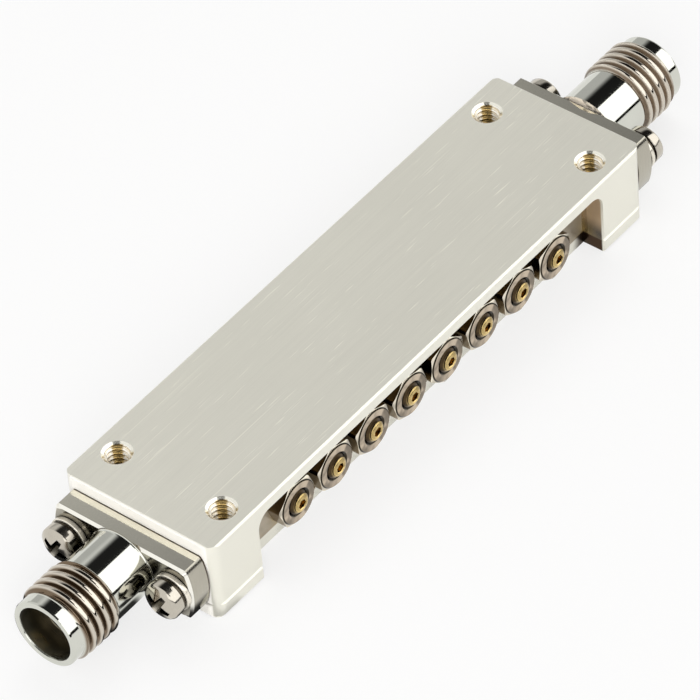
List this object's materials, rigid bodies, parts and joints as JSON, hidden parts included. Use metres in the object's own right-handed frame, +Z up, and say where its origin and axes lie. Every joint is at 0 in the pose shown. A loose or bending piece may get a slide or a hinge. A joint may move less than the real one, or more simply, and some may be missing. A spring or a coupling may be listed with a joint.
{
  "type": "rf filter",
  "caption": "Slim silver-plated cavity band-pass filter block with a threaded coaxial port on each end and a row of locked tuning screws in a side recess.",
  "frame": {"origin": "middle of the cover's underside", "axes": "+X along the block from the input port to the output port, -Y is the side with the tuning screws, +Z up through the brushed top face"},
  "size_m": [0.0724, 0.0138, 0.0072],
  "materials": {
    "silver_plate": "silver-plated brass, brushed on top and satin on the sides",
    "port_steel": "polished passivated stainless steel",
    "screw_steel": "bright stainless steel",
    "nut_steel": "turned and nickel-plated",
    "tuner_brass": "gold-plated brass",
    "contact_gold": "gold-plated copper alloy",
    "bead_plastic": "natural moulded plastic",
    "sleeve_plastic": "natural white plastic"
  },
  "bodies": {
    "filter": {"housing": "silver_plate", "cover_plate": "silver_plate", "cover_screws": "screw_steel", "input_connector": "port_steel", "input_contact": "contact_gold", "input_bead": "bead_plastic", "input_sleeve": "sleeve_plastic", "output_connector": "port_steel", "output_contact": "contact_gold", "output_bead": "bead_plastic", "output_sleeve": "sleeve_plastic", "flange_screws": "screw_steel", "lock_washers": "screw_steel", "flat_washers": "screw_steel", "lock_nut_1": "nut_steel", "lock_nut_2": "nut_steel", "lock_nut_3": "nut_steel", "lock_nut_4": "nut_steel", "lock_nut_5": "nut_steel", "lock_nut_6": "nut_steel", "lock_nut_7": "nut_steel", "lock_nut_8": "nut_steel"},
    "tuner_1": {"tuning_screw_1": "tuner_brass"},
    "tuner_2": {"tuning_screw_2": "tuner_brass"},
    "tuner_3": {"tuning_screw_3": "tuner_brass"},
    "tuner_4": {"tuning_screw_4": "tuner_brass"},
    "tuner_5": {"tuning_screw_5": "tuner_brass"},
    "tuner_6": {"tuning_screw_6": "tuner_brass"},
    "tuner_7": {"tuning_screw_7": "tuner_brass"},
    "tuner_8": {"tuning_screw_8": "tuner_brass"}
  },
  "joints": [
    {"name": "tuner_1_travel", "type": "slide", "parent": "filter", "child": "tuner_1", "axis": [0, -1, 0], "range_m": [-0.0005, 0.0003]},
    {"name": "tuner_2_travel", "type": "slide", "parent": "filter", "child": "tuner_2", "axis": [0, -1, 0], "range_m": [-0.0005, 0.0003]},
    {"name": "tuner_3_travel", "type": "slide", "parent": "filter", "child": "tuner_3", "axis": [0, -1, 0], "range_m": [-0.0005, 0.0003]},
    {"name": "tuner_4_travel", "type": "slide", "parent": "filter", "child": "tuner_4", "axis": [0, -1, 0], "range_m": [-0.0005, 0.0003]},
    {"name": "tuner_5_travel", "type": "slide", "parent": "filter", "child": "tuner_5", "axis": [0, -1, 0], "range_m": [-0.0005, 0.0003]},
    {"name": "tuner_6_travel", "type": "slide", "parent": "filter", "child": "tuner_6", "axis": [0, -1, 0], "range_m": [-0.0005, 0.0003]},
    {"name": "tuner_7_travel", "type": "slide", "parent": "filter", "child": "tuner_7", "axis": [0, -1, 0], "range_m": [-0.0005, 0.0003]},
    {"name": "tuner_8_travel", "type": "slide", "parent": "filter", "child": "tuner_8", "axis": [0, -1, 0], "range_m": [-0.0005, 0.0003]}
  ]
}
